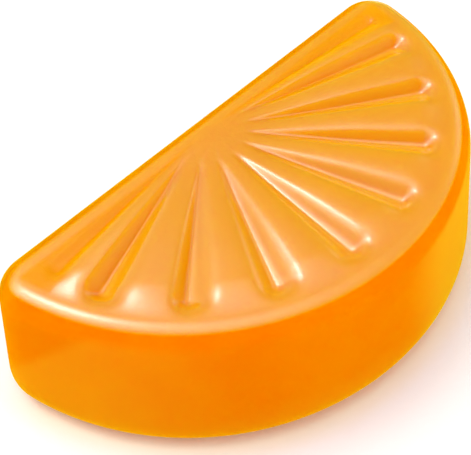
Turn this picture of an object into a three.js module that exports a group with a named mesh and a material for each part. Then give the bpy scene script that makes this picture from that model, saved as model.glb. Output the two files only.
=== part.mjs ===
// Orange slice gummy: half a disc of clear jelly with drafted sides, rounded edges and
// a fan of wedge-shaped grooves pressed into the top, as the segments of a cut orange.
// Millimetres, +Z up. The part rests on its flat base.
import * as THREE from 'three';

// Half-disc body. The plan is drawn about the centre of the arc, which bulges towards -Y.
const ARC_RADIUS = 22;
const CHORD_OFFSET = 0.5;
const CORNER_RADIUS = 4.1;
const THICKNESS = 11.4;
const DRAFT = THREE.MathUtils.degToRad(10);
const TOP_FILLET = 1.7;
const BASE_FILLET = 1.6;

// Fan of grooves. They aim at a hub beside the straight side, a little off the middle.
const HUB_X = -1.45;
const HUB_Y = -2.65;
const HUB_RADIUS = 3.1;
const HUB_MESH_DROP = 1.1;
const GROOVE_COUNT = 8;
const GROOVE_SPACING = THREE.MathUtils.degToRad(18.55);
const GROOVE_END_RADIUS = 17.1;
const GROOVE_HALF_WIDTH = 0.96;
const GROOVE_DEPTH = 0.66;
const GROOVE_POWER = 2.2;
const GROOVE_END_SQUEEZE = 1.2;
const GROOVE_END_SQUARE = 2.2;
const GROOVE_RAMP = 0.82;
const GROOVE_LEAN = 0.3;

// A shallower groove runs beside the straight side at each end of the fan.
const EDGE_GROOVE_END_X = 16.3;
const EDGE_GROOVE_END_Y = -4.2;
const EDGE_GROOVE_HALF_WIDTH = 0.62;
const EDGE_GROOVE_DEPTH = 0.28;

// Lobes between the grooves swell above the rim and fall off at both ends.
const LOBE_RISE = 0.29;
const LOBE_START = 11.8;
const LOBE_END = 16.35;
const LOBE_FALL = 2.5;

// Faceting. Columns across a groove are in half widths.
const GROOVE_COLUMNS = [-1.9, -1.45, -1.1, -0.75, -0.4, 0, 0.4, 0.75, 1.1, 1.45, 1.9];
const EDGE_GROOVE_COLUMNS = [-1.6, -1.1, -0.75, -0.4, 0, 0.4, 0.75, 1.1, 1.6];
const LOBE_COLUMNS = [0.33, 0.67];
const INNER_ROWS = [0, 0.1, 0.24, 0.42, 0.6, 0.76, 0.88, 0.96];
const OUTER_ROWS = [0, 0.18, 0.36, 0.54, 0.7, 0.84, 1];
const CORNER_STEPS = 5;
const CHORD_STEPS = 16;
const FILLET_STEPS = 4;

const GUMMY_COLOR = 0xf7a13a;

const rimHeight = THICKNESS - LOBE_RISE;
const topInset = BASE_FILLET + (rimHeight - TOP_FILLET - BASE_FILLET) * Math.tan(DRAFT)
  + (TOP_FILLET - BASE_FILLET) / Math.cos(DRAFT);
const cornerY = CHORD_OFFSET - CORNER_RADIUS;
const cornerX = Math.sqrt((ARC_RADIUS - CORNER_RADIUS) ** 2 - cornerY ** 2);
const hub = new THREE.Vector2(HUB_X, HUB_Y);

function smooth(value) {
  const t = THREE.MathUtils.clamp(value, 0, 1);
  return t * t * (3 - 2 * t);
}

// One groove: direction from the hub, length to the centre of its rounded end, width, depth
// and lean, by which the wall nearer the round side is wider the more the groove runs sideways.
function groove(endX, endY, halfWidth, depth, lean, columns) {
  const run = new THREE.Vector2(endX, endY).sub(hub);
  const direction = Math.atan2(run.y, run.x);
  const angle = direction > 0 ? direction - 2 * Math.PI : direction;
  return {
    angle, length: run.length(), halfWidth, depth, lean: -lean * Math.cos(angle), columns,
  };
}

// How many times wider than plain a groove's wall is, on one side of its axis.
function widen(item, side) {
  return 1 + item.lean * Math.sign(side);
}

// All grooves, in turn from the -X end of the straight side round to its +X end.
function fanOfGrooves() {
  const edge = [EDGE_GROOVE_HALF_WIDTH, EDGE_GROOVE_DEPTH, 0, EDGE_GROOVE_COLUMNS];
  const deep = [GROOVE_HALF_WIDTH, GROOVE_DEPTH, GROOVE_LEAN, GROOVE_COLUMNS];
  const grooves = [groove(-EDGE_GROOVE_END_X, EDGE_GROOVE_END_Y, ...edge)];
  for (let i = 0; i < GROOVE_COUNT; i += 1) {
    const turn = (i - (GROOVE_COUNT - 1) / 2) * GROOVE_SPACING;
    const endX = GROOVE_END_RADIUS * Math.sin(turn);
    const endY = -GROOVE_END_RADIUS * Math.cos(turn);
    grooves.push(groove(endX, endY, ...deep));
  }
  grooves.push(groove(EDGE_GROOVE_END_X, EDGE_GROOVE_END_Y, ...edge));
  return grooves;
}

const grooves = fanOfGrooves();

// Depth of one groove at a distance and turn from its own axis, both seen from the hub. Its
// section is a bell, and its outer end a rounded square.
function grooveDepth(item, reach, turn) {
  const along = reach * Math.cos(turn);
  const across = Math.abs(reach * Math.sin(turn)) / widen(item, turn);
  if (along < HUB_RADIUS) {
    return 0;
  }
  const past = GROOVE_END_SQUEEZE * Math.max(along - item.length, 0);
  const width = item.halfWidth * Math.min(along / item.length, 1);
  const square = past ** GROOVE_END_SQUARE + across ** GROOVE_END_SQUARE;
  const offset = square ** (1 / GROOVE_END_SQUARE) / width;
  const ramp = Math.min((along - HUB_RADIUS) / (item.length - HUB_RADIUS), 1);
  return item.depth * ramp ** GROOVE_RAMP * Math.exp(-(offset ** GROOVE_POWER));
}

// Swell of the lobe that holds this point, zero on the groove axes, the hub and the rim.
function lobeRise(x, y, reach, angle) {
  const next = grooves.findIndex((item) => item.angle > angle);
  if (next < 1) {
    return 0;
  }
  const low = grooves[next - 1].angle;
  const share = (angle - low) / (grooves[next].angle - low);
  const swell = 4 * share * (1 - share);
  const start = smooth((reach - HUB_RADIUS) / (LOBE_START - HUB_RADIUS));
  const end = smooth((LOBE_END + LOBE_FALL - Math.hypot(x, y)) / LOBE_FALL);
  return LOBE_RISE * swell * start * end;
}

function topHeight(x, y) {
  const reach = Math.hypot(x - HUB_X, y - HUB_Y);
  const direction = Math.atan2(y - HUB_Y, x - HUB_X);
  const angle = direction > 0 ? direction - 2 * Math.PI : direction;
  const cut = Math.max(...grooves.map((item) => grooveDepth(item, reach, angle - item.angle)));
  return rimHeight + lobeRise(x, y, reach, angle) - cut;
}

// Distance from the hub, along a direction, to the far side of a circle.
function reachCircle(direction, centreX, centreY, radius) {
  const offset = new THREE.Vector2(HUB_X - centreX, HUB_Y - centreY);
  const along = offset.dot(direction);
  return -along + Math.sqrt(along ** 2 - offset.lengthSq() + radius ** 2);
}

// Where a direction from the hub meets the inner edge of the top fillet, with the outward
// normal of the plan there: on the arc, or on the rounded corner at either end of it.
function rimPoint(direction) {
  const arcReach = reachCircle(direction, 0, 0, ARC_RADIUS - topInset);
  const onArc = hub.clone().addScaledVector(direction, arcReach);
  if (onArc.y / Math.abs(onArc.x) < cornerY / cornerX) {
    return { reach: arcReach, point: onArc, normal: onArc.clone().normalize() };
  }
  const side = Math.sign(direction.x);
  const reach = reachCircle(direction, side * cornerX, cornerY, CORNER_RADIUS - topInset);
  const point = hub.clone().addScaledVector(direction, reach);
  const normal = point.clone().sub(new THREE.Vector2(side * cornerX, cornerY)).normalize();
  return { reach, point, normal };
}

// Column directions of the top, denser across each groove.
function columnAngles() {
  const angles = [];
  grooves.forEach((item, index) => {
    const steps = item.columns.map((step) => (
      item.angle + (step * widen(item, step) * item.halfWidth) / item.length));
    if (index > 0) {
      const from = angles.at(-1);
      LOBE_COLUMNS.forEach((share) => angles.push(THREE.MathUtils.lerp(from, steps[0], share)));
    }
    angles.push(...steps);
  });
  return angles;
}

class Shell {
  constructor() {
    this.positions = [];
    this.indices = [];
  }

  vertex(x, y, z) {
    this.positions.push(x, y, z);
    return this.positions.length / 3 - 1;
  }

  face(a, b, c) {
    this.indices.push(a, b, c);
  }

  // Band of quads between two equal rows of vertices, the first row on its right-hand side.
  band(first, second, closed) {
    const count = closed ? first.length : first.length - 1;
    for (let i = 0; i < count; i += 1) {
      const j = (i + 1) % first.length;
      this.face(first[i], first[j], second[j]);
      this.face(first[i], second[j], second[i]);
    }
  }

  // Strip between two chains of unequal length that run the same way and share both ends.
  zip(lower, upper) {
    let i = 0;
    let j = 0;
    while (i < lower.length - 1 || j < upper.length - 1) {
      const lowerNext = i < lower.length - 1 ? this.positions[3 * lower[i + 1]] : Infinity;
      const upperNext = j < upper.length - 1 ? this.positions[3 * upper[j + 1]] : Infinity;
      if (lowerNext < upperNext) {
        if (lower[i + 1] !== upper[j]) {
          this.face(lower[i], lower[i + 1], upper[j]);
        }
        i += 1;
      } else {
        if (upper[j + 1] !== lower[i] && upper[j] !== lower[i]) {
          this.face(lower[i], upper[j + 1], upper[j]);
        }
        j += 1;
      }
    }
  }
}

// Plan ring of the body: base-line points with outward normals, from the -X end of the
// straight side along the arc to its +X end, then back along the straight side.
function planRing(columns) {
  const ring = columns.map(({ point, normal }) => (
    { base: point.clone().addScaledVector(normal, topInset), normal }));
  const addCorner = (side, from, to) => {
    for (let i = 1; i <= CORNER_STEPS; i += 1) {
      const angle = THREE.MathUtils.lerp(from, to, i / CORNER_STEPS);
      const normal = new THREE.Vector2(Math.cos(angle), Math.sin(angle));
      const base = new THREE.Vector2(side * cornerX, cornerY).addScaledVector(normal, CORNER_RADIUS);
      ring.push({ base, normal });
    }
  };
  const first = columns[0].normal.angle();
  const last = columns.at(-1).normal.angle();
  addCorner(1, last > Math.PI ? last - 2 * Math.PI : last, Math.PI / 2);
  for (let i = 1; i < CHORD_STEPS; i += 1) {
    const x = THREE.MathUtils.lerp(cornerX, -cornerX, i / CHORD_STEPS);
    ring.push({ base: new THREE.Vector2(x, CHORD_OFFSET), normal: new THREE.Vector2(0, 1) });
  }
  const left = new THREE.Vector2(-cornerX, CHORD_OFFSET);
  ring.push({ base: left, normal: new THREE.Vector2(0, 1) });
  addCorner(-1, Math.PI / 2, first);
  ring.pop();
  return ring;
}

// Inset and height of the rings up the side: base fillet, drafted wall, top fillet.
function sideProfile() {
  const profile = [];
  for (let i = 0; i <= FILLET_STEPS; i += 1) {
    const angle = THREE.MathUtils.lerp(-Math.PI / 2, DRAFT, i / FILLET_STEPS);
    profile.push({
      inset: BASE_FILLET * (1 - Math.cos(angle)),
      height: BASE_FILLET * (1 + Math.sin(angle)),
    });
  }
  for (let i = 0; i < FILLET_STEPS; i += 1) {
    const angle = THREE.MathUtils.lerp(DRAFT, Math.PI / 2, i / FILLET_STEPS);
    profile.push({
      inset: topInset - TOP_FILLET * Math.cos(angle),
      height: rimHeight + TOP_FILLET * (Math.sin(angle) - 1),
    });
  }
  return profile;
}

function sliceGeometry() {
  const shell = new Shell();
  const columns = columnAngles().map((angle) => {
    const direction = new THREE.Vector2(Math.cos(angle), Math.sin(angle));
    return { direction, ...rimPoint(direction) };
  });
  const ring = planRing(columns);

  const sideRows = sideProfile().map(({ inset, height }) => ring.map(({ base, normal }) => (
    shell.vertex(base.x - inset * normal.x, base.y - inset * normal.y, height))));
  const rimRow = ring.map(({ base, normal }) => (
    shell.vertex(base.x - topInset * normal.x, base.y - topInset * normal.y, rimHeight)));
  sideRows.push(rimRow);
  sideRows.slice(1).forEach((row, index) => shell.band(sideRows[index], row, true));

  const baseCentre = shell.vertex(0, HUB_Y - HUB_RADIUS, 0);
  sideRows[0].forEach((corner, index) => (
    shell.face(baseCentre, sideRows[0][(index + 1) % ring.length], corner)));

  const topPoint = (direction, reach) => {
    const point = hub.clone().addScaledVector(direction, reach);
    return shell.vertex(point.x, point.y, topHeight(point.x, point.y));
  };
  const innerRows = INNER_ROWS.map((share) => columns.map(({ direction }) => {
    const end = reachCircle(direction, 0, 0, GROOVE_END_RADIUS);
    return topPoint(direction, THREE.MathUtils.lerp(HUB_RADIUS, end, share));
  }));
  const outerRows = OUTER_ROWS.slice(0, -1).map((share) => columns.map(({ direction, reach }) => {
    const end = reachCircle(direction, 0, 0, GROOVE_END_RADIUS);
    return topPoint(direction, THREE.MathUtils.lerp(end, reach, share));
  }));
  const topRows = [...innerRows, ...outerRows, rimRow.slice(0, columns.length)].reverse();
  topRows.slice(1).forEach((row, index) => shell.band(topRows[index], row, false));

  const hubRow = topRows.at(-1);
  const hubCentre = shell.vertex(HUB_X, HUB_Y - HUB_MESH_DROP, rimHeight);
  hubRow.slice(1).forEach((corner, index) => shell.face(hubCentre, hubRow[index], corner));

  const leftEdge = topRows.map((row) => row[0]);
  const rightEdge = topRows.map((row) => row.at(-1)).reverse();
  const straightSide = rimRow.slice(columns.length - 1);
  shell.zip([...leftEdge, hubCentre, ...rightEdge], [...straightSide, rimRow[0]].reverse());

  const geometry = new THREE.BufferGeometry();
  geometry.setAttribute('position', new THREE.Float32BufferAttribute(shell.positions, 3));
  geometry.setIndex(shell.indices);
  geometry.translate(0, (ARC_RADIUS - CHORD_OFFSET) / 2, 0);
  geometry.computeVertexNormals();
  return geometry;
}

const slice = new THREE.Mesh(
  sliceGeometry(),
  new THREE.MeshStandardMaterial({ color: GUMMY_COLOR, roughness: 0.25, metalness: 0 }),
);
slice.name = 'slice';

const gummy = new THREE.Group();
gummy.name = 'orange_slice_gummy';
gummy.add(slice);

export default gummy;
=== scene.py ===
"""Orange slice gummy: a grooved half disc of clear fruit jelly on a pale floor."""

import logging
import math
from dataclasses import dataclass, field
from enum import Enum

import bpy
from mathutils import Matrix, Vector, noise


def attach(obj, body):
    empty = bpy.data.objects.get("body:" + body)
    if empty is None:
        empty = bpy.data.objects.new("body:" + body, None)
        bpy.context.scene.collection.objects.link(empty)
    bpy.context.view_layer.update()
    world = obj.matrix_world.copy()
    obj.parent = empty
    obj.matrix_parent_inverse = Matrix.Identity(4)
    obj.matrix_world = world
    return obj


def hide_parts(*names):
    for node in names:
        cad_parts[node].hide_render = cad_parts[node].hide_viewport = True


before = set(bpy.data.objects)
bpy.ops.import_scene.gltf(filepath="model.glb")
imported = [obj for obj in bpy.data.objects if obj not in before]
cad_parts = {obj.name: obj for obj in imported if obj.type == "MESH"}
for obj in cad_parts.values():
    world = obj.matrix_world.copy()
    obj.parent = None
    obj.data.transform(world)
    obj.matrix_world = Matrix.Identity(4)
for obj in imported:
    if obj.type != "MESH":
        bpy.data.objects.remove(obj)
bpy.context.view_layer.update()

LOG = logging.getLogger("orange_slice")
MM = 0.001

Color = tuple[float, float, float, float]
Direction = tuple[float, float, float]
# A fade holds the value where a mask is 0, then the one where it is 1.
Fade = tuple[float, float]
Socket = bpy.types.NodeSocket
Axes = dict[str, Socket]


class End(Enum):
    """The two rounded ends of the straight side."""

    LEFT = -1
    RIGHT = 1


def smooth(value: float) -> float:
    """Ease a value from 0 to 1 with level ends.

    Args:
        value: Share of the way, clamped to 0 and 1.

    Returns:
        The eased share.
    """
    share = min(max(value, 0.0), 1.0)
    return share * share * (3.0 - 2.0 * share)


def lerp(start: float, end: float, share: float) -> float:
    """Return the value that lies share of the way from start to end."""
    return start + (end - start) * share


def spread(start: float, end: float, count: int) -> list[float]:
    """Return count values in even steps from start to end, both included."""
    return [lerp(start, end, i / (count - 1)) for i in range(count)]


@dataclass(frozen=True)
class Groove:
    """One wedge-shaped groove, in millimetres, seen from the hub.

    Attributes:
        angle: Direction of its axis, in radians from +X, never positive.
        length: Distance from the hub to the centre of its round outer end.
        half_width: Half its width at the outer end.
        depth: Its depth at the outer end.
        lean: How much wider its wall on the side of greater angles is, as a share.
    """

    angle: float
    length: float
    half_width: float
    depth: float
    lean: float

    def widen(self, side: float) -> float:
        """Return how many times wider than plain the wall on one side of the axis is."""
        return 1.0 + self.lean * side


@dataclass(frozen=True)
class PlanPoint:
    """A point of the base line of the plan, with its outward normal."""

    x: float
    y: float
    nx: float
    ny: float

    def inset(self, distance: float) -> tuple[float, float]:
        """Return the point moved inwards by a distance."""
        return self.x - distance * self.nx, self.y - distance * self.ny


@dataclass
class SliceBody:
    """The jelly body: the same named sizes as the solid, in millimetres, at fine steps.

    The plan is drawn about the centre of the arc, which bulges towards -Y.

    Attributes:
        arc_radius: Radius of the round side at its widest.
        chord_offset: Y of the straight side.
        corner_radius: Radius of the rounded ends of the straight side, in the plan.
        thickness: Height of the lobes' crests.
        draft: Lean of the sides, in radians.
        top_fillet: Radius of the rounded top edge.
        base_fillet: Radius of the rounded base edge.
        hub_x: X of the hub that the grooves aim at.
        hub_y: Y of the hub.
        hub_radius: Radius of the plain area round the hub.
        hub_mesh_drop: How far in front of the hub its middle vertex lies.
        groove_count: Number of deep grooves.
        groove_spacing: Turn from one groove end to the next, in radians.
        groove_end_radius: Distance of the groove ends from the centre of the arc.
        groove_half_width: Half the width of a deep groove at its end.
        groove_depth: Its depth there.
        groove_power: Power of its bell-shaped section.
        groove_end_squeeze: How many times steeper its end is than its walls.
        groove_end_square: Power of its rounded end, 2 for a round one.
        groove_ramp: Power by which it deepens from the hub to its end.
        groove_lean: How much wider its wall nearer the round side is, if it runs sideways.
        edge_groove_end: X and Y of the end of the edge groove at +X.
        edge_groove_half_width: Half the width of an edge groove at its end.
        edge_groove_depth: Its depth there.
        lobe_rise: Height of the lobes over the rim.
        lobe_start: Distance from the hub where the lobes reach that height.
        lobe_end: Distance from the centre of the arc where they start to fall.
        lobe_fall: Length of the fall.
        ripple_height: Height of the faint unevenness of the top.
        ripple_size: Size of its waves.
        ripple_detail: Height of the finer waves, as a share.
        ripple_detail_scale: How many times smaller they are.
        ripple_fade: Width of the borders where the unevenness ends.
        groove_steps: Columns across each half of a groove.
        groove_reach: How far those of a deep groove reach, in half widths.
        edge_reach: The same for an edge groove.
        lobe_steps: Columns between two grooves.
        inner_steps: Rows from the hub to the groove ends.
        outer_steps: Rows from the groove ends to the rim.
        corner_steps: Points along each rounded end.
        chord_steps: Points along the straight side.
        fillet_steps: Rings of the top edge, and of the base edge.
        wall_steps: Rings of the wall between them.
        shift_y: Y of the arc's centre in the frame.
        rim_height: Height of the rim.
        top_inset: How far inwards of the base line the top fillet ends, in the plan.
        corner_x: X of the centre of the rounded end at +X.
        corner_y: Y of the centres of both rounded ends.
        grooves: All grooves, worked out from the sizes, as the five before it.
    """

    arc_radius: float = 22.0
    chord_offset: float = 0.5
    corner_radius: float = 4.1
    thickness: float = 11.4
    draft: float = math.radians(10.0)
    top_fillet: float = 1.7
    base_fillet: float = 1.6
    hub_x: float = -1.45
    hub_y: float = -2.65
    hub_radius: float = 3.1
    hub_mesh_drop: float = 1.1
    groove_count: int = 8
    groove_spacing: float = math.radians(18.55)
    groove_end_radius: float = 17.1
    groove_half_width: float = 0.96
    groove_depth: float = 0.66
    groove_power: float = 2.2
    groove_end_squeeze: float = 1.2
    groove_end_square: float = 2.2
    groove_ramp: float = 0.82
    groove_lean: float = 0.3
    edge_groove_end: tuple[float, float] = (16.3, -4.2)
    edge_groove_half_width: float = 0.62
    edge_groove_depth: float = 0.28
    lobe_rise: float = 0.29
    lobe_start: float = 11.8
    lobe_end: float = 16.35
    lobe_fall: float = 2.5
    ripple_height: float = 0.014
    ripple_size: float = 2.6
    ripple_detail: float = 0.35
    ripple_detail_scale: float = 2.9
    ripple_fade: float = 2.0
    groove_steps: int = 22
    groove_reach: float = 1.9
    edge_reach: float = 1.6
    lobe_steps: int = 7
    inner_steps: int = 64
    outer_steps: int = 26
    corner_steps: int = 14
    chord_steps: int = 90
    fillet_steps: int = 12
    wall_steps: int = 8
    shift_y: float = field(init=False)
    rim_height: float = field(init=False)
    top_inset: float = field(init=False)
    corner_x: float = field(init=False)
    corner_y: float = field(init=False)
    grooves: list[Groove] = field(init=False)

    def __post_init__(self) -> None:
        """Work out the sizes that follow from the named ones."""
        self.shift_y = (self.arc_radius - self.chord_offset) / 2
        self.rim_height = self.thickness - self.lobe_rise
        wall_height = self.rim_height - self.top_fillet - self.base_fillet
        self.top_inset = (
            self.base_fillet
            + wall_height * math.tan(self.draft)
            + (self.top_fillet - self.base_fillet) / math.cos(self.draft)
        )
        self.corner_y = self.chord_offset - self.corner_radius
        self.corner_x = math.sqrt((self.arc_radius - self.corner_radius) ** 2 - self.corner_y**2)
        self.grooves = self.fan()

    def groove(self, end: tuple[float, float], half_width: float, depth: float, lean: float) -> Groove:
        """Make a groove that runs from the hub to a given outer end.

        Args:
            end: X and Y of the centre of its outer end.
            half_width: Half its width there.
            depth: Its depth there.
            lean: How much wider its wall nearer the round side would be, if it ran sideways.

        Returns:
            The groove.
        """
        run_x, run_y = end[0] - self.hub_x, end[1] - self.hub_y
        angle, length = self.below(math.atan2(run_y, run_x)), math.hypot(run_x, run_y)
        return Groove(angle, length, half_width, depth, -lean * math.cos(angle))

    def fan(self) -> list[Groove]:
        """Lay out all grooves.

        Returns:
            The grooves, from the -X end of the straight side round to its +X end.
        """
        edge_x, edge_y = self.edge_groove_end
        edge = (self.edge_groove_half_width, self.edge_groove_depth, 0.0)
        deep = (self.groove_half_width, self.groove_depth, self.groove_lean)
        grooves = [self.groove((-edge_x, edge_y), *edge)]
        for i in range(self.groove_count):
            turn = (i - (self.groove_count - 1) / 2) * self.groove_spacing
            end_x = self.groove_end_radius * math.sin(turn)
            end_y = -self.groove_end_radius * math.cos(turn)
            grooves.append(self.groove((end_x, end_y), *deep))
        grooves.append(self.groove((edge_x, edge_y), *edge))
        return grooves

    @staticmethod
    def below(angle: float) -> float:
        """Return the same direction as an angle that isn't positive."""
        return angle - 2.0 * math.pi if angle > 0.0 else angle

    def groove_cut(self, item: Groove, reach: float, turn: float) -> float:
        """Return how deep one groove cuts at a point.

        Args:
            item: The groove.
            reach: Distance of the point from the hub.
            turn: Turn of the point from the groove's axis.

        Returns:
            The depth in millimetres, 0 outside the groove.
        """
        along = reach * math.cos(turn)
        if along < self.hub_radius:
            return 0.0
        across = abs(reach * math.sin(turn))
        past = self.groove_end_squeeze * max(along - item.length, 0.0)
        width = item.half_width * min(along / item.length, 1.0)
        across /= item.widen(math.copysign(1.0, turn))
        square = self.groove_end_square
        offset = (past**square + across**square) ** (1.0 / square) / width
        ramp = min((along - self.hub_radius) / (item.length - self.hub_radius), 1.0)
        return item.depth * ramp**self.groove_ramp * math.exp(-(offset**self.groove_power))

    def swell(self, x: float, y: float, reach: float, angle: float) -> float:
        """Return how far the lobe at a point rises above the rim.

        Args:
            x: X of the point.
            y: Y of the point.
            reach: Its distance from the hub.
            angle: Its direction from the hub.

        Returns:
            The rise in millimetres.
        """
        for low, high in zip(self.grooves, self.grooves[1:]):
            if low.angle <= angle < high.angle:
                share = (angle - low.angle) / (high.angle - low.angle)
                start = smooth((reach - self.hub_radius) / (self.lobe_start - self.hub_radius))
                end = smooth((self.lobe_end + self.lobe_fall - math.hypot(x, y)) / self.lobe_fall)
                return self.lobe_rise * 4.0 * share * (1.0 - share) * start * end
        return 0.0

    def ripple(self, x: float, y: float, reach: float) -> float:
        """Return the faint unevenness of the cast top at a point, which ends at its borders.

        Args:
            x: X of the point.
            y: Y of the point.
            reach: Its distance from the hub.

        Returns:
            The height in millimetres.
        """
        place = Vector((x, y, 0.0)) / self.ripple_size
        wave = noise.noise(place) + self.ripple_detail * noise.noise(place * self.ripple_detail_scale)
        border = self.arc_radius - self.top_inset - math.hypot(x, y)
        start = smooth((reach - self.hub_radius) / self.ripple_fade)
        return self.ripple_height * wave * (start * smooth(border / self.ripple_fade))

    def top_height(self, x: float, y: float) -> float:
        """Return the height of the grooved top at a point of the plan.

        Args:
            x: X of the point.
            y: Y of the point.

        Returns:
            The height over the floor, in millimetres.
        """
        reach = math.hypot(x - self.hub_x, y - self.hub_y)
        angle = self.below(math.atan2(y - self.hub_y, x - self.hub_x))
        cut = max(self.groove_cut(item, reach, angle - item.angle) for item in self.grooves)
        return self.rim_height + self.swell(x, y, reach, angle) + self.ripple(x, y, reach) - cut

    def reach_circle(self, angle: float, x: float, y: float, radius: float) -> float:
        """Return the distance from the hub, in a direction, to the far side of a circle.

        Args:
            angle: The direction.
            x: X of the circle's centre.
            y: Y of the circle's centre.
            radius: Its radius.

        Returns:
            The distance in millimetres.
        """
        off_x, off_y = self.hub_x - x, self.hub_y - y
        along = off_x * math.cos(angle) + off_y * math.sin(angle)
        return -along + math.sqrt(along**2 - off_x**2 - off_y**2 + radius**2)

    def rim_hit(self, angle: float) -> tuple[float, PlanPoint]:
        """Find where a direction from the hub meets the inner edge of the top fillet.

        Args:
            angle: The direction.

        Returns:
            The distance from the hub, and the point of the base line outside it.
        """
        inner = self.arc_radius - self.top_inset
        reach = self.reach_circle(angle, 0.0, 0.0, inner)
        x, y = self.hub_x + reach * math.cos(angle), self.hub_y + reach * math.sin(angle)
        nx, ny = x / inner, y / inner
        if y / abs(x) >= self.corner_y / self.corner_x:
            end = End.RIGHT if math.cos(angle) > 0.0 else End.LEFT
            centre_x, inner = end.value * self.corner_x, self.corner_radius - self.top_inset
            reach = self.reach_circle(angle, centre_x, self.corner_y, inner)
            x, y = self.hub_x + reach * math.cos(angle), self.hub_y + reach * math.sin(angle)
            nx, ny = (x - centre_x) / inner, (y - self.corner_y) / inner
        return reach, PlanPoint(x + self.top_inset * nx, y + self.top_inset * ny, nx, ny)

    def column_angles(self) -> list[float]:
        """Lay out the columns of the top, denser across each groove.

        Returns:
            Their directions from the hub, in radians, from the first groove to the last.
        """
        angles: list[float] = []
        last = len(self.grooves) - 1
        for index, item in enumerate(self.grooves):
            reach = self.edge_reach if index in (0, last) else self.groove_reach
            half = reach * item.half_width / item.length
            start, end = item.angle - half * item.widen(-1.0), item.angle + half * item.widen(1.0)
            if index:
                angles.extend(spread(angles[-1], start, self.lobe_steps + 2)[1:-1])
            angles.extend(spread(start, item.angle, self.groove_steps))
            angles.extend(spread(item.angle, end, self.groove_steps)[1:])
        return angles

    def plan_ring(self, columns: list[PlanPoint]) -> list[PlanPoint]:
        """Close the base line of the plan round the columns' ends.

        Args:
            columns: The columns' points on the base line, from -X round the arc to +X.

        Returns:
            The whole ring, anticlockwise.
        """
        ring = list(columns)
        last = math.atan2(columns[-1].ny, columns[-1].nx)
        first = math.atan2(columns[0].ny, columns[0].nx) % (2.0 * math.pi)
        ring.extend(self.corner(End.RIGHT, last, math.pi / 2)[1:])
        for x in spread(self.corner_x, -self.corner_x, self.chord_steps)[1:-1]:
            ring.append(PlanPoint(x, self.chord_offset, 0.0, 1.0))
        ring.extend(self.corner(End.LEFT, math.pi / 2, first)[:-1])
        return ring

    def corner(self, end: End, start: float, stop: float) -> list[PlanPoint]:
        """Return the points of one rounded end of the straight side.

        Args:
            end: Which end.
            start: Direction of the normal at its first point, in radians.
            stop: Direction of the normal at its last point.

        Returns:
            The points, both ends included.
        """
        points = []
        for angle in spread(start, stop, self.corner_steps):
            nx, ny = math.cos(angle), math.sin(angle)
            x = end.value * self.corner_x + self.corner_radius * nx
            points.append(PlanPoint(x, self.corner_y + self.corner_radius * ny, nx, ny))
        return points

    def side_profile(self) -> list[tuple[float, float]]:
        """Work out the section of the side: base fillet, leaning wall, top fillet.

        Returns:
            Inset and height of each ring, upwards, in millimetres.
        """
        profile = []
        for angle in spread(-math.pi / 2, self.draft, self.fillet_steps):
            inset = self.base_fillet * (1.0 - math.cos(angle))
            profile.append((inset, self.base_fillet * (1.0 + math.sin(angle))))
        top = []
        for angle in spread(self.draft, math.pi / 2, self.fillet_steps):
            inset = self.top_inset - self.top_fillet * math.cos(angle)
            top.append((inset, self.rim_height + self.top_fillet * (math.sin(angle) - 1.0)))
        foot, head = profile[-1], top[0]
        for share in spread(0.0, 1.0, self.wall_steps)[1:-1]:
            profile.append((lerp(foot[0], head[0], share), lerp(foot[1], head[1], share)))
        return profile + top

    def build(self) -> bpy.types.Object:
        """Build the closed mesh of the slice.

        Returns:
            The slice, at the origin of the frame, in metres.
        """
        shell = Shell(self.shift_y)
        angles = self.column_angles()
        hits = [self.rim_hit(angle) for angle in angles]
        ring = self.plan_ring([point for _, point in hits])
        rows = [
            [shell.vertex(*point.inset(inset), height) for point in ring]
            for inset, height in self.side_profile()
        ]
        for low, high in zip(rows, rows[1:]):
            shell.band(low, high, closed=True)
        centre = shell.vertex(0.0, self.hub_y - self.hub_radius, 0.0)
        shell.fan(centre, rows[0][::-1] + [rows[0][-1]])

        top_rows = [rows[-1][: len(angles)]]
        for steps, inward in ((self.outer_steps, 0.0), (self.inner_steps, 1.0)):
            for share in spread(1.0, 0.0, steps)[1:]:
                columns = zip(angles, hits)
                top_rows.append([self.top_vertex(shell, a, hit[0], share - inward) for a, hit in columns])
        for low, high in zip(top_rows, top_rows[1:]):
            shell.band(low, high, closed=False)
        hub = shell.vertex(self.hub_x, self.hub_y - self.hub_mesh_drop, self.rim_height)
        shell.fan(hub, top_rows[-1])
        left = [row[0] for row in top_rows]
        right = [row[-1] for row in reversed(top_rows)]
        straight = rows[-1][len(angles) - 1 :] + [rows[-1][0]]
        shell.stitch([*left, hub, *right], straight[::-1])
        return shell.to_object("orange_slice")

    def dress(self, piece: bpy.types.Object) -> None:
        """Give the slice its jelly finish."""
        piece.data.materials.append(JellyFinish().build(self))

    def top_vertex(self, shell: "Shell", angle: float, reach: float, share: float) -> int:
        """Add a vertex of the grooved top.

        Args:
            shell: The mesh under construction.
            angle: Direction from the hub.
            reach: Distance from the hub to the rim in that direction.
            share: 0 to 1 from the circle of the groove ends out to the rim, or -1 to 0 from
                the hub out to that circle.

        Returns:
            The vertex's index.
        """
        end = self.reach_circle(angle, 0.0, 0.0, self.groove_end_radius)
        if share >= 0.0:
            distance = lerp(end, reach, share)
        else:
            distance = lerp(self.hub_radius, end, share + 1.0)
        x, y = self.hub_x + distance * math.cos(angle), self.hub_y + distance * math.sin(angle)
        return shell.vertex(x, y, self.top_height(x, y))

    def plan(self, nodes: "NodeBuilder", place: Axes) -> tuple[Socket, Socket]:
        """Give a place in the plan about the centre of the arc.

        Args:
            nodes: The node tree that asks.
            place: The place, in metres.

        Returns:
            The sockets of its distance from the centre, and of its distance behind it.
        """
        behind = nodes.math("SUBTRACT", place["Y"], self.shift_y * MM)
        square = nodes.math("MULTIPLY", place["X"], place["X"])
        return nodes.math("SQRT", nodes.math("MULTIPLY_ADD", behind, behind, square)), behind

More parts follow.
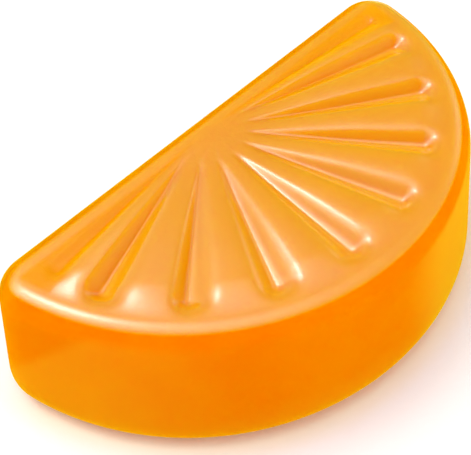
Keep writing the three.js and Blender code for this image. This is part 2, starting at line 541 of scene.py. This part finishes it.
    def outside(self, nodes: "NodeBuilder", place: Axes) -> tuple[Socket, Socket]:
        """Give how far a place lies outside the outline of the slice.

        Args:
            nodes: The node tree that asks.
            place: The place, in metres.

        Returns:
            The sockets of that distance, and of the place's distance behind the arc's centre.
        """
        radius, behind = self.plan(nodes, place)
        off_arc = nodes.math("SUBTRACT", radius, self.arc_radius * MM)
        off_chord = nodes.math("SUBTRACT", behind, self.chord_offset * MM)
        return nodes.greatest(off_arc, off_chord), behind


class Shell:
    """A closed mesh under construction, given in millimetres and kept in metres."""

    def __init__(self, shift_y: float) -> None:
        """Start an empty mesh.

        Args:
            shift_y: How far its points are moved along Y, in millimetres.
        """
        self.shift_y = shift_y
        self.points: list[tuple[float, float, float]] = []
        self.faces: list[tuple[int, ...]] = []

    def vertex(self, x: float, y: float, z: float) -> int:
        """Add a vertex and return its index."""
        self.points.append((x * MM, (y + self.shift_y) * MM, z * MM))
        return len(self.points) - 1

    def band(self, first: list[int], second: list[int], closed: bool) -> None:
        """Join two equal rows of vertices with quads.

        Args:
            first: The row that has the quads on its left, seen from outside.
            second: The other row.
            closed: Whether the rows are rings.
        """
        count = len(first) if closed else len(first) - 1
        for i in range(count):
            j = (i + 1) % len(first)
            self.faces.append((first[i], first[j], second[j], second[i]))

    def fan(self, centre: int, row: list[int]) -> None:
        """Join a centre to each step of a row with triangles.

        Args:
            centre: The vertex in the centre.
            row: The row, anticlockwise round it, seen from outside.
        """
        for first, second in zip(row, row[1:]):
            if first != second:
                self.faces.append((centre, first, second))

    def stitch(self, lower: list[int], upper: list[int]) -> None:
        """Fill the strip between two chains that run towards +X and share both ends.

        Args:
            lower: The chain nearer -Y.
            upper: The chain nearer +Y.
        """
        i = j = 0
        while i < len(lower) - 1 or j < len(upper) - 1:
            low_x = self.points[lower[i + 1]][0] if i < len(lower) - 1 else math.inf
            high_x = self.points[upper[j + 1]][0] if j < len(upper) - 1 else math.inf
            if low_x < high_x:
                corners = (lower[i], lower[i + 1], upper[j])
                i += 1
            else:
                corners = (lower[i], upper[j + 1], upper[j])
                j += 1
            if len(set(corners)) == len(corners):
                self.faces.append(corners)

    def to_object(self, name: str) -> bpy.types.Object:
        """Make a smooth-shaded object of the mesh.

        Args:
            name: The object's name.

        Returns:
            The object, linked to the scene.
        """
        mesh = bpy.data.meshes.new(name)
        mesh.from_pydata(self.points, [], self.faces)
        mesh.validate()
        mesh.shade_smooth()
        piece = bpy.data.objects.new(name, mesh)
        bpy.context.scene.collection.objects.link(piece)
        return piece


class NodeBuilder:
    """Short ways to add and join shader nodes in one tree."""

    def __init__(self, tree: bpy.types.NodeTree) -> None:
        """Work in the given node tree."""
        self.tree = tree

    def add(self, kind: str, **settings: object) -> bpy.types.Node:
        """Add a node.

        Args:
            kind: Name of the node's type.
            **settings: Properties to set on it.

        Returns:
            The node.
        """
        node = self.tree.nodes.new(kind)
        for key, value in settings.items():
            setattr(node, key, value)
        return node

    def link(self, source: Socket, target: Socket) -> None:
        """Join two sockets."""
        self.tree.links.new(source, target)

    def feed(self, value: object, target: Socket) -> None:
        """Give an input its value.

        Args:
            value: The value, or the socket that carries it.
            target: The input.
        """
        if isinstance(value, Socket):
            self.link(value, target)
        else:
            target.default_value = value

    def split(self, vector: Socket) -> Axes:
        """Split a vector.

        Args:
            vector: The socket that carries it.

        Returns:
            The sockets of its X, Y and Z, by name.
        """
        node = self.add("ShaderNodeSeparateXYZ")
        self.link(vector, node.inputs["Vector"])
        return {axis: node.outputs[axis] for axis in "XYZ"}

    def math(self, operation: str, *values: object) -> Socket:
        """Add a math operation.

        Args:
            operation: Name of the operation.
            *values: What it works on, as values or sockets.

        Returns:
            The socket of the result.
        """
        node = self.add("ShaderNodeMath", operation=operation)
        for value, target in zip(values, node.inputs):
            self.feed(value, target)
        return node.outputs["Value"]

    def product(self, first: Socket, *others: object) -> Socket:
        """Multiply values.

        Args:
            first: The socket of the first one.
            *others: The others, as values or sockets.

        Returns:
            The socket of the product.
        """
        for other in others:
            first = self.math("MULTIPLY", first, other)
        return first

    def greatest(self, first: Socket, *others: object) -> Socket:
        """Find the greatest of values.

        Args:
            first: The socket of the first one.
            *others: The others, as values or sockets.

        Returns:
            The socket of the greatest.
        """
        for other in others:
            first = self.math("MAXIMUM", first, other)
        return first

    def dot(self, vector: Socket, axis: Direction) -> Socket:
        """Measure a vector along an axis.

        Args:
            vector: The socket that carries the vector.
            axis: The axis.

        Returns:
            The socket of its part along the axis.
        """
        node = self.add("ShaderNodeVectorMath", operation="DOT_PRODUCT")
        self.link(vector, node.inputs[0])
        node.inputs[1].default_value = axis
        return node.outputs["Value"]

    def ease(self, value: Socket, fade: Fade) -> Socket:
        """Ease a value through a fade, with level ends.

        Args:
            value: The socket that carries the value.
            fade: The values where the result is 0 and 1.

        Returns:
            The socket of the result, from 0 to 1.
        """
        node = self.add("ShaderNodeMapRange", interpolation_type="SMOOTHSTEP")
        self.link(value, node.inputs["Value"])
        node.inputs["From Min"].default_value, node.inputs["From Max"].default_value = fade
        return node.outputs["Result"]

    def mix(self, share: Socket, first: object, second: object) -> Socket:
        """Blend two colors.

        Args:
            share: The socket of the second color's share.
            first: The first color, or its socket.
            second: The second color, or its socket.

        Returns:
            The socket of the blend.
        """
        node = self.add("ShaderNodeMix", data_type="RGBA")
        self.link(share, node.inputs["Factor"])
        self.feed(first, next(socket for socket in node.inputs if socket.identifier == "A_Color"))
        self.feed(second, next(socket for socket in node.inputs if socket.identifier == "B_Color"))
        return next(socket for socket in node.outputs if socket.identifier == "Result_Color")

    def mottle(self, place: Socket, size: float) -> Socket:
        """Place the shared group of soft clouds.

        Args:
            place: The place on the object.
            size: Size of the clouds, in metres.

        Returns:
            The socket of the clouds' share, from 0 to 1.
        """
        node = self.add("ShaderNodeGroup", node_tree=Mottle().group())
        self.link(place, node.inputs["Place"])
        node.inputs["Scale"].default_value = 1.0 / size
        return node.outputs["Share"]


@dataclass(frozen=True)
class Mottle:
    """Soft uneven clouds that the finishes share as one node group.

    Attributes:
        detail: How many finer layers the clouds have.
        distortion: How much the clouds are bent.
        fade: Strength of the noise, from clear to full cloud.
    """

    detail: float = 3.0
    distortion: float = 0.4
    fade: Fade = (0.3, 0.7)

    def group(self) -> bpy.types.NodeTree:
        """Return the node group, which is built once.

        Returns:
            The group, with a place and a scale as inputs and a share from 0 to 1 as output.
        """
        if "mottle" in bpy.data.node_groups:
            return bpy.data.node_groups["mottle"]
        tree = bpy.data.node_groups.new("mottle", "ShaderNodeTree")
        tree.interface.new_socket("Place", in_out="INPUT", socket_type="NodeSocketVector")
        tree.interface.new_socket("Scale", in_out="INPUT", socket_type="NodeSocketFloat")
        tree.interface.new_socket("Share", in_out="OUTPUT", socket_type="NodeSocketFloat")
        nodes = NodeBuilder(tree)
        entry = nodes.add("NodeGroupInput")
        cloud = nodes.add("ShaderNodeTexNoise")
        cloud.inputs["Detail"].default_value = self.detail
        cloud.inputs["Distortion"].default_value = self.distortion
        nodes.link(entry.outputs["Place"], cloud.inputs["Vector"])
        nodes.link(entry.outputs["Scale"], cloud.inputs["Scale"])
        share = nodes.ease(cloud.outputs["Fac"], self.fade)
        nodes.link(share, nodes.add("NodeGroupOutput").inputs["Share"])
        return tree


@dataclass(frozen=True)
class Grain:
    """Fine grain of a surface, in its roughness and in its height.

    Attributes:
        size: Size of its clouds, in metres.
        roughness: Roughness of the smoothest places.
        unevenness: How much rougher the roughest places are.
        height: Height of the grain, in metres.
    """

    size: float
    roughness: float
    unevenness: float
    height: float

    def dress(self, nodes: NodeBuilder, shader: bpy.types.Node, place: Socket) -> None:
        """Give a shader this grain.

        Args:
            nodes: The material's node tree.
            shader: The shader.
            place: The place on the object.
        """
        share = nodes.mottle(place, self.size)
        rough = nodes.math("MULTIPLY_ADD", share, self.unevenness, self.roughness)
        nodes.link(rough, shader.inputs["Roughness"])
        bump = nodes.add("ShaderNodeBump")
        bump.inputs["Distance"].default_value = self.height
        nodes.link(share, bump.inputs["Height"])
        nodes.link(bump.outputs["Normal"], shader.inputs["Normal"])


@dataclass(frozen=True)
class WetGloss:
    """The wet gloss of the jelly, and how much of it each part of the slice has.

    The fades hold parts of the normal along an axis.

    Attributes:
        roughness: Roughness of the gloss.
        ior: Its refractive index.
        top: Part along +Z, from the shoulder of the rim to the top.
        top_back: Part along +Y, where the top's gloss ends towards the straight side.
        end: Part along +X, round to the right end.
        end_share: Share of gloss on the right end.
        straight: Part along +Y, round to the straight side.
        straight_top: Part along +Z, where the straight side's gloss ends at its upper edge.
        straight_share: Share of gloss on the straight side.
        dull_side: Direction that the dull walls of the deep grooves look to.
        dull: Part along that direction, from dull to glossy.
        dull_share: Share of gloss on dull walls and on the edge grooves.
    """

    roughness: float = 0.15
    ior: float = 1.8
    top: Fade = (0.86, 0.94)
    top_back: Fade = (0.32, 0.10)
    end: Fade = (0.80, 0.96)
    end_share: float = 0.4
    straight: Fade = (0.42, 0.62)
    straight_top: Fade = (0.60, 0.40)
    straight_share: float = 0.35
    dull_side: Direction = (-0.12, -0.99, 0.0)
    dull: Fade = (0.50, 0.36)
    dull_share: float = 0.2

    def share(self, nodes: NodeBuilder, normal: Socket, grooved: Socket, rays: Socket) -> Socket:
        """Return how glossy the surface is, from 0 to 1.

        The gloss ends on the shoulder of the rim, and the straight side and the right end have
        some of it. In the grooved field, only the edge grooves and the walls of the deep grooves
        that look to the round side are dull.

        Args:
            nodes: The material's node tree.
            normal: The normal.
            grooved: The share of the grooved field.
            rays: The share of the deep grooves' part of the field.

        Returns:
            The socket that carries the share.
        """
        facing = nodes.split(normal)
        top = nodes.product(nodes.ease(facing["Z"], self.top), nodes.ease(facing["Y"], self.top_back))
        end = nodes.product(nodes.ease(facing["X"], self.end), self.end_share)
        straight = nodes.product(
            nodes.ease(facing["Y"], self.straight),
            nodes.ease(facing["Z"], self.straight_top),
            self.straight_share,
        )
        outer = nodes.greatest(top, end, straight)
        bright = nodes.product(nodes.ease(nodes.dot(normal, self.dull_side), self.dull), rays)
        inner = nodes.greatest(bright, self.dull_share)
        return nodes.math("MULTIPLY_ADD", nodes.math("SUBTRACT", inner, outer), grooved, outer)


@dataclass(frozen=True)
class PaintedWallGlow:
    """Painted light where light comes through the side of the slice, and how much of it.

    Attributes:
        right_side: Level direction that the glow on the right looks to.
        right: Part of the normal along that direction.
        right_end: Part of the normal along +X, where that glow ends at the right end.
        left: Part of the normal along +X, round to the left end.
        left_slope: How far the left glow's upper border falls for each metre backwards.
        left_border: Height of that border over the middle of the frame, in metres.
        left_share: Share of glow at the left.
        foot: Height over the floor, from the wall to its foot, in metres.
        foot_share: Share of glow along the foot.
        back: Part of the normal along +Y, round to the straight side.
        back_share: Share of glow on the straight side.
    """

    right_side: Direction = (0.57, -0.82, 0.0)
    right: Fade = (0.755, 0.90)
    right_end: Fade = (0.98, 0.76)
    left: Fade = (-0.55, -0.95)
    left_slope: float = 1.13
    left_border: Fade = (13.2 * MM, 11.5 * MM)
    left_share: float = 0.48
    foot: Fade = (4.5 * MM, 1.8 * MM)
    foot_share: float = 0.25
    back: Fade = (0.3, 0.9)
    back_share: float = 0.55

    def share(self, nodes: NodeBuilder, place: Axes, normal: Socket) -> Socket:
        """Return the share of painted light where light comes through the side, from 0 to 1.

        Args:
            nodes: The material's node tree.
            place: Position on the slice, in metres.
            normal: The normal.

        Returns:
            The socket that carries the share.
        """
        facing = nodes.split(normal)
        rightward = nodes.dot(normal, self.right_side)
        right = nodes.product(nodes.ease(rightward, self.right), nodes.ease(facing["X"], self.right_end))
        slope = nodes.math("MULTIPLY_ADD", place["Y"], self.left_slope, place["Z"])
        below = nodes.ease(slope, self.left_border)
        left = nodes.product(nodes.ease(facing["X"], self.left), below, self.left_share)
        foot = nodes.product(nodes.ease(place["Z"], self.foot), self.foot_share)
        back = nodes.product(nodes.ease(facing["Y"], self.back), self.back_share)
        return nodes.greatest(right, left, foot, back)


@dataclass(frozen=True)
class JellyFinish:
    """Clear orange jelly: light spreads inside it, and the top has a wet gloss. Its color holds painted
    light and shade.

    Attributes:
        lit_top_color: Color of the faces that look up, painted lighter and yellower than the side wall for
            the light that falls on the top.
        steep_light_color: Color of the steep walls of the grooves, painted lighter to lift the shade that
            falls on them.
        valley_light_color: Painted light in the bottoms of the grooves, a pale line where light gathers.
        shaded_wall_color: Deep color of the side wall, painted shade set against the lit top.
        painted_glow_color: Painted light: color of the parts of the wall that light comes through.
        ridge_shade_color: Painted shade: a deeper color on the edge between the straight side and the top.
        cloud_color: Color of the faint clouds in the jelly.
        cloud_size: Size of the clouds, in metres.
        cloud_share: How strong the clouds are.
        scatter_scale: Length that light spreads inside, in metres.
        scatter_radius: Share of that length for red, green and blue.
        upward: Part of the normal along +Z, from the wall's painted shade to the top's painted light.
        steep: Part of the normal along +Z, on the steep walls of the grooves that get that painted light.
        level: Part of the normal along +Z, on the bottoms of the grooves.
        deep: Depth under the rim, down to the bottoms of the grooves, in millimetres.
        ridge_back: Part of the normal along +Y, on the upper back edge where that shade is painted.
        ridge_up: Part of the normal along +Z, on that edge.
        field_border: Width of the border of the grooved field, in millimetres.
        field_up: Part of the normal along +Z, in the grooved field.
        ray_slope: Slope of the borders between the edge grooves and the deep ones.
        ray_border: Half the width of those borders, in metres.
        grain: The fine grain under the gloss.
        gloss: The gloss.
        glow: The painted light where light comes through the side.
    """

    lit_top_color: Color = (0.80, 0.305, 0.0, 1.0)
    steep_light_color: Color = (0.83, 0.335, 0.0, 1.0)
    valley_light_color: Color = (0.90, 0.46, 0.02, 1.0)
    shaded_wall_color: Color = (0.88, 0.194, 0.0, 1.0)
    painted_glow_color: Color = (0.94, 0.33, 0.006, 1.0)
    ridge_shade_color: Color = (0.60, 0.15, 0.0, 1.0)
    cloud_color: Color = (1.0, 0.42, 0.0, 1.0)
    cloud_size: float = 5.0 * MM
    cloud_share: float = 0.10
    scatter_scale: float = 4.5 * MM
    scatter_radius: tuple[float, float, float] = (1.0, 1.2, 0.3)
    upward: Fade = (0.84, 0.90)
    steep: Fade = (0.97, 0.80)
    level: Fade = (0.80, 0.95)
    deep: Fade = (0.1, 0.5)
    ridge_back: Fade = (0.10, 0.45)
    ridge_up: Fade = (0.25, 0.55)
    field_border: float = 0.5
    field_up: Fade = (0.0, 0.3)
    ray_slope: float = 0.16
    ray_border: float = 0.25 * MM
    grain: Grain = Grain(size=0.5 * MM, roughness=0.25, unevenness=0.12, height=0.01 * MM)
    gloss: WetGloss = WetGloss()
    glow: PaintedWallGlow = PaintedWallGlow()

    def build(self, body: SliceBody) -> bpy.types.Material:
        """Build the material.

        Args:
            body: The slice, for the outline of its grooved field.

        Returns:
            The jelly material.
        """
        material = bpy.data.materials.new("orange_jelly")
        material.use_nodes = True
        nodes = NodeBuilder(material.node_tree)
        shader = material.node_tree.nodes["Principled BSDF"]
        coords = nodes.add("ShaderNodeTexCoord").outputs
        place, normal = nodes.split(coords["Object"]), coords["Normal"]
        grooved = self.grooved(nodes, place, normal, body)
        tint = self.tint(nodes, place, normal, grooved, body)
        clouds = nodes.product(nodes.mottle(coords["Object"], self.cloud_size), self.cloud_share)
        nodes.link(nodes.mix(clouds, tint, self.cloud_color), shader.inputs["Base Color"])
        self.grain.dress(nodes, shader, coords["Object"])
        gloss = self.gloss.share(nodes, normal, grooved, self.rays(nodes, place, body))
        nodes.link(gloss, shader.inputs["Coat Weight"])
        shader.inputs["Coat Roughness"].default_value = self.gloss.roughness
        shader.inputs["Coat IOR"].default_value = self.gloss.ior
        shader.inputs["Specular IOR Level"].default_value = 0.0
        shader.inputs["Subsurface Weight"].default_value = 1.0
        shader.inputs["Subsurface Radius"].default_value = self.scatter_radius
        shader.inputs["Subsurface Scale"].default_value = self.scatter_scale
        return material

    def tint(
        self, nodes: NodeBuilder, place: Axes, normal: Socket, grooved: Socket, body: SliceBody
    ) -> Socket:
        """Return the color of the jelly, with its painted light and shade, without its clouds.

        Args:
            nodes: The material's node tree.
            place: Position on the slice, in metres.
            normal: The normal.
            grooved: The share of the grooved field.
            body: The slice, for the height of its rim.

        Returns:
            The socket that carries the color.
        """
        facing = nodes.split(normal)
        # Painted light on the side wall where light comes through it.
        wall = nodes.mix(self.glow.share(nodes, place, normal), self.shaded_wall_color, self.painted_glow_color)
        # Painted light that lifts the shade on the steep walls of the grooves.
        steep = nodes.product(nodes.ease(facing["Z"], self.steep), grooved)
        # Painted light along the bottoms of the grooves.
        heights = ((body.rim_height - self.deep[0]) * MM, (body.rim_height - self.deep[1]) * MM)
        deep, level = nodes.ease(place["Z"], heights), nodes.ease(facing["Z"], self.level)
        valley = nodes.product(deep, level, grooved)
        top = nodes.mix(valley, nodes.mix(steep, self.lit_top_color, self.steep_light_color), self.valley_light_color)
        # Painted light and shade: the top is lighter and yellower than the side wall.
        upward = nodes.greatest(nodes.ease(facing["Z"], self.upward), grooved)
        # Painted shade along the upper edge of the straight side, outside the grooved field.
        back, upper = nodes.ease(facing["Y"], self.ridge_back), nodes.ease(facing["Z"], self.ridge_up)
        ridge = nodes.product(back, upper, nodes.math("SUBTRACT", 1.0, grooved))
        return nodes.mix(ridge, nodes.mix(upward, wall, top), self.ridge_shade_color)

    def grooved(self, nodes: NodeBuilder, place: Axes, normal: Socket, body: SliceBody) -> Socket:
        """Return 1 over the grooved field of the top and 0 elsewhere.

        Args:
            nodes: The material's node tree.
            place: Position on the slice, in metres.
            normal: The normal.
            body: The slice, for the outline of its field.

        Returns:
            The socket that carries the share.
        """
        rim = body.arc_radius - body.top_inset
        radius, behind = body.plan(nodes, place)
        within = nodes.ease(radius, (rim * MM, (rim - self.field_border) * MM))
        front = nodes.ease(behind, (body.hub_y * MM, (body.hub_y - self.field_border) * MM))
        return nodes.product(within, front, nodes.ease(nodes.split(normal)["Z"], self.field_up))

    def rays(self, nodes: NodeBuilder, place: Axes, body: SliceBody) -> Socket:
        """Return 1 over the deep grooves and 0 over the edge grooves beside the straight side.

        Args:
            nodes: The material's node tree.
            place: Position on the slice, in metres.
            body: The slice, for its hub.

        Returns:
            The socket that carries the share.
        """
        behind = body.plan(nodes, place)[1]
        ahead = nodes.math("SUBTRACT", body.hub_y * MM, behind)
        aside = nodes.math("ABSOLUTE", nodes.math("SUBTRACT", place["X"], body.hub_x * MM))
        past = nodes.math("MULTIPLY_ADD", aside, -self.ray_slope, ahead)
        return nodes.ease(past, (-self.ray_border, self.ray_border))


@dataclass(frozen=True)
class FloorFinish:
    """Plain matt pale floor, with the warm light that the jelly casts round its foot painted into its
    color.

    Attributes:
        color: Color of the floor.
        cast_light_color: Painted light: color of the floor in the warm light that the jelly casts.
        cast_reach: How far that painted light reaches from the slice, in metres.
        cast_front: Distance in front of the arc's centre where it is full, in metres.
        grain: The fine grain of the floor.
    """

    color: Color = (0.98, 0.98, 0.98, 1.0)
    cast_light_color: Color = (0.98, 0.95, 0.77, 1.0)
    cast_reach: float = 2.0 * MM
    cast_front: float = 6.0 * MM
    grain: Grain = Grain(size=1.5 * MM, roughness=0.85, unevenness=0.1, height=0.02 * MM)

    def build(self, body: SliceBody) -> bpy.types.Material:
        """Build the floor material.

        Args:
            body: The slice that stands on the floor.

        Returns:
            The floor material.
        """
        material = bpy.data.materials.new("pale_floor")
        material.use_nodes = True
        nodes = NodeBuilder(material.node_tree)
        shader = material.node_tree.nodes["Principled BSDF"]
        coords = nodes.add("ShaderNodeTexCoord").outputs["Object"]
        # Painted warm light on the floor round the foot of the slice.
        away, behind = body.outside(nodes, nodes.split(coords))
        near, front = nodes.ease(away, (self.cast_reach, 0.0)), nodes.ease(behind, (0.0, -self.cast_front))
        cast = nodes.product(near, front)
        nodes.link(nodes.mix(cast, self.color, self.cast_light_color), shader.inputs["Base Color"])
        self.grain.dress(nodes, shader, coords)
        shader.inputs["Specular IOR Level"].default_value = 0.0
        return material


@dataclass(frozen=True)
class SoftLight:
    """One round soft light of the surroundings.

    Attributes:
        name: The light's name.
        azimuth: Direction it stands in, in degrees from +X towards +Y.
        elevation: Its height over the floor, in degrees.
        spread: How far it fades round its middle, in degrees.
        radiance: Its brightness in the middle.
    """

    name: str
    azimuth: float
    elevation: float
    spread: float
    radiance: float

    def direction(self) -> Direction:
        """Work out the light's direction.

        Returns:
            The unit vector towards the light.
        """
        azimuth, elevation = math.radians(self.azimuth), math.radians(self.elevation)
        level = math.cos(elevation)
        return level * math.cos(azimuth), level * math.sin(azimuth), math.sin(elevation)


@dataclass
class Studio:
    """The floor and the soft surroundings that light the slice.

    Attributes:
        floor_side: Length of each side of the floor, in metres.
        dusk: Brightness of the surroundings away from the lights.
        lights: The soft lights.
    """

    floor_side: float = 1.2
    dusk: float = 0.05
    lights: tuple[SoftLight, ...] = (
        SoftLight("key", azimuth=99.0, elevation=64.5, spread=5.4, radiance=7.8),
        SoftLight("key_halo", azimuth=118.0, elevation=57.0, spread=13.0, radiance=3.6),
        SoftLight("overhead", azimuth=70.0, elevation=85.2, spread=19.0, radiance=1.92),
        SoftLight("right", azimuth=-2.0, elevation=25.0, spread=9.5, radiance=0.95),
        SoftLight("back", azimuth=95.0, elevation=8.0, spread=30.0, radiance=0.7),
        SoftLight("front", azimuth=-135.0, elevation=10.0, spread=22.0, radiance=1.5),
        SoftLight("side", azimuth=-55.0, elevation=9.0, spread=23.0, radiance=1.7),
    )

    def build(self, body: SliceBody) -> None:
        """Build the floor and the surroundings.

        Args:
            body: The slice that stands on the floor.
        """
        half = self.floor_side / 2
        mesh = bpy.data.meshes.new("floor")
        corners = [(-half, -half, 0.0), (half, -half, 0.0), (half, half, 0.0), (-half, half, 0.0)]
        mesh.from_pydata(corners, [], [(0, 1, 2, 3)])
        floor = bpy.data.objects.new("floor", mesh)
        floor.data.materials.append(FloorFinish().build(body))
        bpy.context.scene.collection.objects.link(floor)
        self.surround()
        LOG.info("studio: floor and %d soft lights", len(self.lights))

    def surround(self) -> None:
        """Light the scene from all round with the soft lights over a dim ground tone."""
        world = bpy.data.worlds.new("surroundings")
        world.use_nodes = True
        nodes = NodeBuilder(world.node_tree)
        backdrop = world.node_tree.nodes["Background"]
        backdrop.inputs["Color"].default_value = (1.0, 1.0, 1.0, 1.0)
        towards = nodes.add("ShaderNodeTexCoord").outputs["Generated"]
        total: Socket | float = self.dusk
        for item in self.lights:
            away = nodes.math("SUBTRACT", nodes.dot(towards, item.direction()), 1.0)
            fade = nodes.math("MULTIPLY", away, math.radians(item.spread) ** -2)
            total = nodes.math("MULTIPLY_ADD", nodes.math("EXPONENT", fade), item.radiance, total)
        nodes.link(total, backdrop.inputs["Strength"])
        bpy.context.scene.world = world


@dataclass(frozen=True)
class PhotoCamera:
    """The camera at the photograph's viewpoint, in units of the slice's arc radius.

    Attributes:
        azimuth: Turn of the view round the slice, in degrees from the front.
        elevation: Height of the view over the floor, in degrees.
        roll: Roll of the picture, in degrees.
        distance: Distance from the aim point.
        focal: Focal length in pixels of the frame.
        aim: Aim point in the plan drawn about the arc's centre.
        aim_height: Height of the aim point.
        frame_width: Width of the frame, in pixels.
        sensor: Width of the camera's sensor, in millimetres.
        near: Distance where the view begins, in metres.
    """

    azimuth: float = -45.429
    elevation: float = 51.825
    roll: float = -2.586
    distance: float = 2.6
    focal: float = 773.22
    aim: tuple[float, float] = (-0.158, -0.336)
    aim_height: float = 0.2555
    frame_width: int = 471
    sensor: float = 36.0
    near: float = 1.0 * MM

    def build(self, body: SliceBody) -> None:
        """Place the camera round the slice.

        Args:
            body: The slice, for its scale and place.
        """
        azimuth, elevation = math.radians(self.azimuth), math.radians(self.elevation)
        roll = math.radians(self.roll)
        flat = math.cos(elevation)
        back = Vector((math.sin(azimuth) * flat, -math.cos(azimuth) * flat, math.sin(elevation)))
        level = Vector((math.cos(azimuth), math.sin(azimuth), 0.0))
        up = back.cross(level)
        right = level * math.cos(roll) + up * math.sin(roll)
        top = up * math.cos(roll) - level * math.sin(roll)
        scale = body.arc_radius
        aim = Vector((self.aim[0] * scale, self.aim[1] * scale + body.shift_y, self.aim_height * scale))
        place = (aim + back * self.distance * scale) * MM
        data = bpy.data.cameras.new("camera")
        data.sensor_fit = "HORIZONTAL"
        data.sensor_width = self.sensor
        data.lens = self.focal * self.sensor / self.frame_width
        data.clip_start = self.near
        camera = bpy.data.objects.new("camera", data)
        axes = Matrix((right, top, back)).transposed().to_4x4()
        camera.matrix_world = Matrix.Translation(place) @ axes
        bpy.context.scene.collection.objects.link(camera)
        bpy.context.scene.camera = camera


def main() -> None:
    """Build the slice, the studio and the camera."""
    logging.basicConfig(level=logging.INFO, format="%(message)s")
    bpy.context.scene.view_settings.view_transform = "Standard"
    body = SliceBody()
    piece = body.build()
    body.dress(piece)
    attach(piece, "root")
    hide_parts("slice")
    LOG.info("slice: %d faces", len(piece.data.polygons))
    Studio().build(body)
    PhotoCamera().build(body)


if __name__ == "__main__":
    main()
